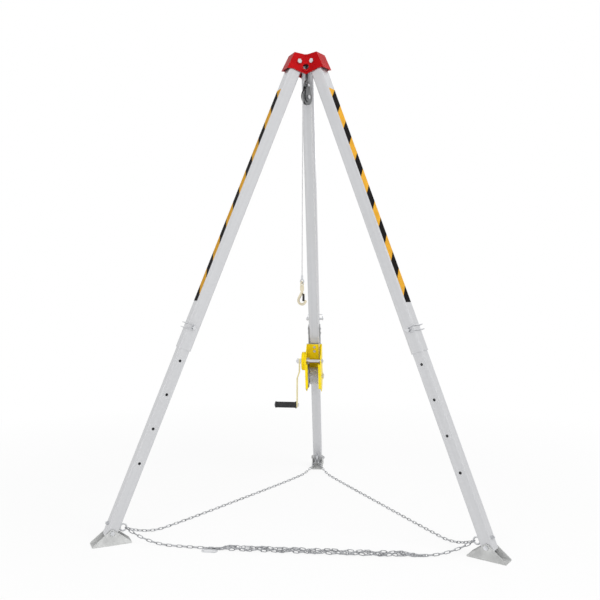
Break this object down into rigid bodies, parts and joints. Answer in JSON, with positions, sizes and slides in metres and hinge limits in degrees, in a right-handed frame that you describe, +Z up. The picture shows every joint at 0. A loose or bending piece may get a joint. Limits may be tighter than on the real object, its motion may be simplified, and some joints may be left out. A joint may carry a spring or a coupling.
{
  "type": "rescue tripod",
  "caption": "Portable rescue tripod with telescopic square legs, hinged feet, a perimeter chain, a pulley block under the head and a leg-mounted hand winch with a swivel hook.",
  "frame": {"origin": "centre of the standing footprint, on the floor", "axes": "+Z up, +Y towards the rear leg that carries the winch, +X to the right of a person facing the winch"},
  "size_m": [1.7032, 1.475, 2.128],
  "materials": {
    "head_paint": "red enamel over a casting",
    "leg_aluminium": "clear anodised extrusion",
    "zinc_steel": "bright zinc",
    "wire_rope": "galvanised wire rope",
    "chain_steel": "zinc plated",
    "hazard_tape": "black and amber stripes",
    "winch_paint": "yellow enamel",
    "bracket_paint": "dark grey",
    "gear_steel": "oiled",
    "crank_zinc": "yellow zinc",
    "grip_rubber": "moulded",
    "hook_brass": "gold zinc",
    "block_steel": "grey"
  },
  "bodies": {
    "head": {"head_casting": "head_paint", "pivot_bolts": "zinc_steel", "head_eye_bolt": "zinc_steel", "pulley_cheeks": "block_steel", "pulley_pins": "zinc_steel", "rope_lift": "wire_rope", "rope_hook": "wire_rope", "chain_front": "chain_steel", "chain_left": "chain_steel", "chain_right": "chain_steel", "chain_snap_link": "zinc_steel"},
    "leg_left": {"upper_tube_left": "leg_aluminium", "hazard_tape_left": "hazard_tape"},
    "shin_left": {"lower_tube_left": "leg_aluminium", "chain_eye_left": "zinc_steel", "foot_bolt_left": "zinc_steel", "chain_end_left": "chain_steel"},
    "foot_left": {"foot_left": "leg_aluminium"},
    "pin_left": {"lock_pin_left": "zinc_steel"},
    "bail_left": {"lock_bail_left": "zinc_steel"},
    "leg_right": {"upper_tube_right": "leg_aluminium", "hazard_tape_right": "hazard_tape"},
    "shin_right": {"lower_tube_right": "leg_aluminium", "chain_eye_right": "zinc_steel", "foot_bolt_right": "zinc_steel", "chain_end_right": "chain_steel"},
    "foot_right": {"foot_right": "leg_aluminium"},
    "pin_right": {"lock_pin_right": "zinc_steel"},
    "bail_right": {"lock_bail_right": "zinc_steel"},
    "leg_rear": {"upper_tube_rear": "leg_aluminium", "hazard_tape_rear": "hazard_tape", "winch_bracket": "bracket_paint", "winch_frame": "winch_paint", "winch_bolts": "zinc_steel", "brake_cover": "winch_paint", "tie_bar": "zinc_steel", "drum_shaft": "zinc_steel"},
    "shin_rear": {"lower_tube_rear": "leg_aluminium", "chain_eye_rear": "zinc_steel", "foot_bolt_rear": "zinc_steel", "chain_end_rear": "chain_steel"},
    "foot_rear": {"foot_rear": "leg_aluminium"},
    "pin_rear": {"lock_pin_rear": "zinc_steel"},
    "bail_rear": {"lock_bail_rear": "zinc_steel"},
    "sheave": {"sheave": "block_steel"},
    "drum": {"drum": "zinc_steel", "drum_gear": "gear_steel", "rope_winding": "wire_rope"},
    "crank": {"crank_shaft": "zinc_steel", "ratchet_wheel": "gear_steel", "brake_discs": "gear_steel", "crank_arm": "crank_zinc", "crank_fasteners": "zinc_steel"},
    "grip": {"crank_grip": "grip_rubber"},
    "pawl": {"pawl": "gear_steel"},
    "hook_line": {"rope_end": "zinc_steel", "hook_swivel": "hook_brass"},
    "hook": {"hook_body": "hook_brass"},
    "latch": {"hook_latch": "zinc_steel"}
  },
  "joints": [
    {"name": "fold_left", "type": "hinge", "parent": "head", "child": "leg_left", "pos_m": [-0.04677, -0.25522, 2.085], "axis": [0.5, -0.866, 0], "range_deg": [0, 17], "deforming": ["chain_front", "chain_left", "chain_end_left"]},
    {"name": "slide_left", "type": "slide", "parent": "leg_left", "child": "shin_left", "axis": [0.3279, 0.1893, 0.9255], "range_m": [-0.456, 0.456], "deforming": ["chain_end_left"]},
    {"name": "foot_tilt_left", "type": "hinge", "parent": "shin_left", "child": "foot_left", "pos_m": [-0.76706, -0.67109, 0.052], "axis": [-0.5, 0.866, 0], "range_deg": [-20, 20]},
    {"name": "pin_pull_left", "type": "slide", "parent": "leg_left", "child": "pin_left", "axis": [0.5, -0.866, 0], "range_m": [0, 0.082]},
    {"name": "bail_swing_left", "type": "hinge", "parent": "pin_left", "child": "bail_left", "pos_m": [-0.45279, -0.5304, 0.8892], "axis": [0.3279, 0.1893, 0.9255], "range_deg": [0, 145]},
    {"name": "fold_right", "type": "hinge", "parent": "head", "child": "leg_right", "pos_m": [0.04677, -0.25522, 2.085], "axis": [0.5, 0.866, 0], "range_deg": [0, 17], "deforming": ["chain_front", "chain_right", "chain_end_right"]},
    {"name": "slide_right", "type": "slide", "parent": "leg_right", "child": "shin_right", "axis": [-0.3279, 0.1893, 0.9255], "range_m": [-0.456, 0.456], "deforming": ["chain_end_right"]},
    {"name": "foot_tilt_right", "type": "hinge", "parent": "shin_right", "child": "foot_right", "pos_m": [0.76706, -0.67109, 0.052], "axis": [-0.5, -0.866, 0], "range_deg": [-20, 20]},
    {"name": "pin_pull_right", "type": "slide", "parent": "leg_right", "child": "pin_right", "axis": [-0.5, -0.866, 0], "range_m": [0, 0.082]},
    {"name": "bail_swing_right", "type": "hinge", "parent": "pin_right", "child": "bail_right", "pos_m": [0.45279, -0.5304, 0.8892], "axis": [0.3279, -0.1893, -0.9255], "range_deg": [0, 145]},
    {"name": "fold_rear", "type": "hinge", "parent": "head", "child": "leg_rear", "pos_m": [0, -0.17422, 2.085], "axis": [-1, 0, 0], "range_deg": [0, 17], "deforming": ["chain_left", "chain_right", "chain_end_rear", "rope_lift"]},
    {"name": "slide_rear", "type": "slide", "parent": "leg_rear", "child": "shin_rear", "axis": [0, -0.3786, 0.9255], "range_m": [-0.456, 0.456], "deforming": ["chain_end_rear"]},
    {"name": "foot_tilt_rear", "type": "hinge", "parent": "shin_rear", "child": "foot_rear", "pos_m": [0, 0.6575, 0.052], "axis": [1, 0, 0], "range_deg": [-20, 20]},
    {"name": "pin_pull_rear", "type": "slide", "parent": "leg_rear", "child": "pin_rear", "axis": [-1, 0, 0], "range_m": [0, 0.082]},
    {"name": "bail_swing_rear", "type": "hinge", "parent": "pin_rear", "child": "bail_rear", "pos_m": [-0.0353, 0.31499, 0.8892], "axis": [0, -0.3786, 0.9255], "range_deg": [0, 145]},
    {"name": "drum_spin", "type": "hinge", "parent": "leg_rear", "child": "drum", "pos_m": [0, 0.3293, 0.57956], "axis": [-1, 0, 0], "range_deg": [0, 810]},
    {"name": "crank_spin", "type": "hinge", "parent": "leg_rear", "child": "crank", "pos_m": [0, 0.32054, 0.65908], "axis": [1, 0, 0], "range_deg": [0, 3241]},
    {"name": "sheave_spin", "type": "hinge", "parent": "head", "child": "sheave", "pos_m": [0, -0.22822, 1.937], "axis": [-0.866, 0.5, 0], "range_deg": [0, 1216]},
    {"name": "hook_lift", "type": "slide", "parent": "head", "child": "hook_line", "axis": [0, 0, 1], "range_m": [0, 0.6372], "deforming": ["rope_hook"]},
    {"name": "grip_spin", "type": "hinge", "parent": "crank", "child": "grip", "pos_m": [-0.15, 0.32054, 0.41908], "axis": [1, 0, 0], "continuous": true},
    {"name": "pawl_swing", "type": "hinge", "parent": "leg_rear", "child": "pawl", "pos_m": [-0.05, 0.28516, 0.67767], "axis": [1, 0, 0], "range_deg": [-7, 0]},
    {"name": "hook_turn", "type": "hinge", "parent": "hook_line", "child": "hook", "pos_m": [-0.015, -0.2542, 1.047], "axis": [0, 0, 1], "continuous": true},
    {"name": "latch_swing", "type": "hinge", "parent": "hook", "child": "latch", "pos_m": [-0.00748, -0.25694, 1.0297], "axis": [0.342, 0.9397, 0], "range_deg": [0, 25], "stiffness_Nm_per_rad": 0.08, "springref_deg": -11.46}
  ],
  "couplings": [
    {"joint": "bail_swing_left", "follows": "pin_pull_left", "rad_per_m": 30.857},
    {"joint": "fold_right", "follows": "fold_left", "ratio": 1},
    {"joint": "bail_swing_right", "follows": "pin_pull_right", "rad_per_m": 30.857},
    {"joint": "fold_rear", "follows": "fold_left", "ratio": 1},
    {"joint": "bail_swing_rear", "follows": "pin_pull_rear", "rad_per_m": 30.857},
    {"joint": "crank_spin", "follows": "drum_spin", "ratio": 4},
    {"joint": "sheave_spin", "follows": "drum_spin", "ratio": 1.5},
    {"joint": "hook_lift", "follows": "drum_spin", "m_per_rad": 0.045}
  ]
}
